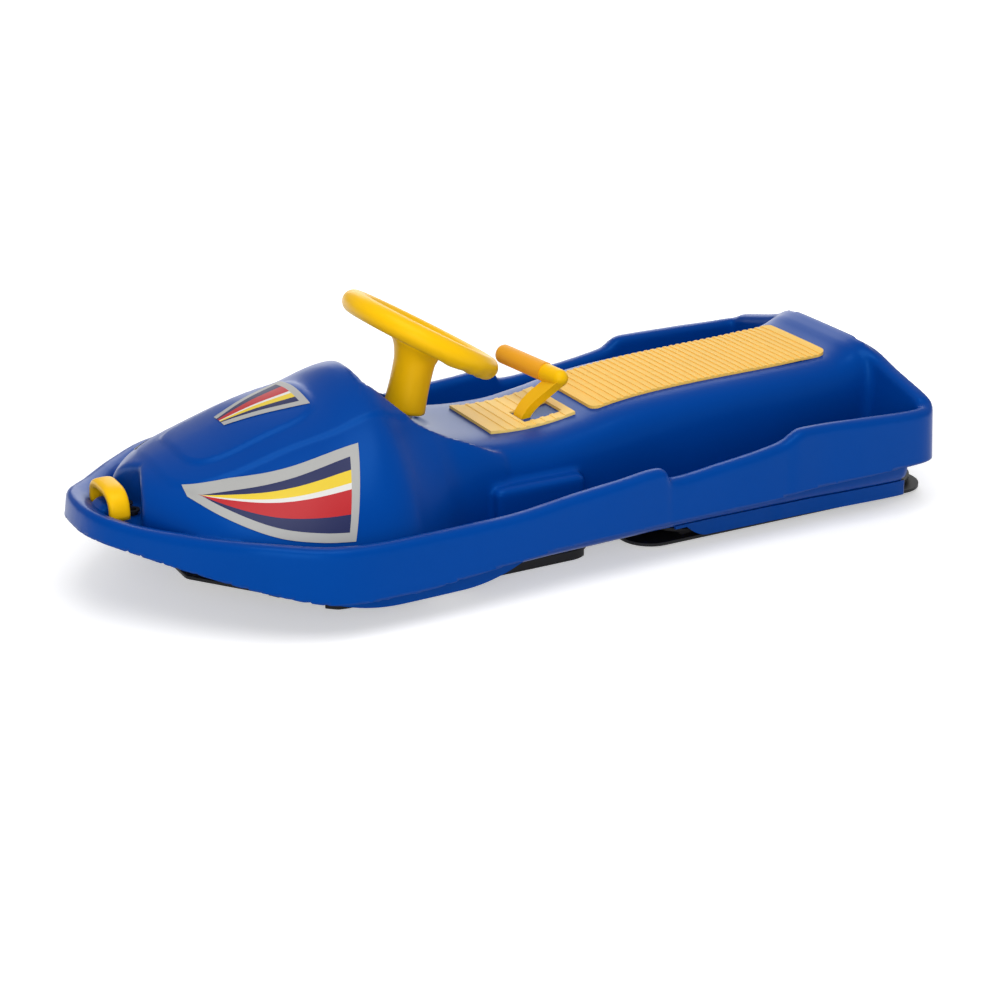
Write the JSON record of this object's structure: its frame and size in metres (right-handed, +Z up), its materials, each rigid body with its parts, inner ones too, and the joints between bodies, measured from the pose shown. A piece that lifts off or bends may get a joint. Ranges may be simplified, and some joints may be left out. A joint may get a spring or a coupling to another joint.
{
  "type": "steering sled",
  "caption": "Moulded child's snow sled with a hooded nose, foot trays, a ribbed seat, a wheel that turns a wide front ski, a claw brake with its lever and a lifting tow handle.",
  "frame": {"origin": "bottom centre of the bounding box, on the ground under the sled", "axes": "+X to the nose along the sled, +Y to the rider's left, +Z up from the ground"},
  "size_m": [1.1204, 0.494, 0.3281],
  "materials": {
    "blue_plastic": "satin gloss moulded",
    "yellow_plastic": "satin gloss moulded",
    "tread_plastic": "fine matt",
    "grip_plastic": "matt",
    "handle_plastic": "gloss moulded",
    "black_plastic": "matt moulded",
    "bush_plastic": "natural",
    "zinc_steel": "zinc plated"
  },
  "bodies": {
    "body": {"body_shell": "blue_plastic", "seat_tread": "tread_plastic", "brake_cover": "tread_plastic", "rear_runner": "black_plastic", "rear_runner_screws": "zinc_steel", "steering_bridge": "zinc_steel", "steering_bridge_screws": "zinc_steel", "lower_bush": "bush_plastic", "upper_bush": "bush_plastic", "brake_bracket": "zinc_steel", "brake_bracket_screws": "zinc_steel", "brake_pivot_pin": "zinc_steel", "brake_pin_clips": "zinc_steel", "brake_spring": "zinc_steel", "tow_cord_guides": "black_plastic"},
    "steering": {"front_ski": "black_plastic", "ski_hub": "black_plastic", "ski_hub_screws": "zinc_steel", "thrust_washer": "bush_plastic", "steering_shaft": "zinc_steel", "hub_pin": "zinc_steel", "column_pin": "zinc_steel", "wheel_base": "yellow_plastic", "wheel_top": "yellow_plastic", "wheel_screws": "zinc_steel"},
    "brake": {"brake_lever": "yellow_plastic", "brake_grip": "grip_plastic", "brake_claw": "zinc_steel", "claw_rivets": "zinc_steel"},
    "tow_handle": {"tow_handle": "handle_plastic"}
  },
  "joints": [
    {"name": "steering_turn", "type": "hinge", "parent": "body", "child": "steering", "pos_m": [0.171, 0, 0], "axis": [-0.2504, 0, 0.9681], "range_deg": [-14, 14]},
    {"name": "brake_pull", "type": "hinge", "parent": "body", "child": "brake", "pos_m": [-0.025, 0.012, 0.12], "axis": [0, -1, 0], "range_deg": [0, 20], "stiffness_Nm_per_rad": 1.2, "springref_deg": -28.65},
    {"name": "tow_handle_lift", "type": "slide", "parent": "body", "child": "tow_handle", "axis": [0, 0, 1], "range_m": [0, 0.06]}
  ]
}
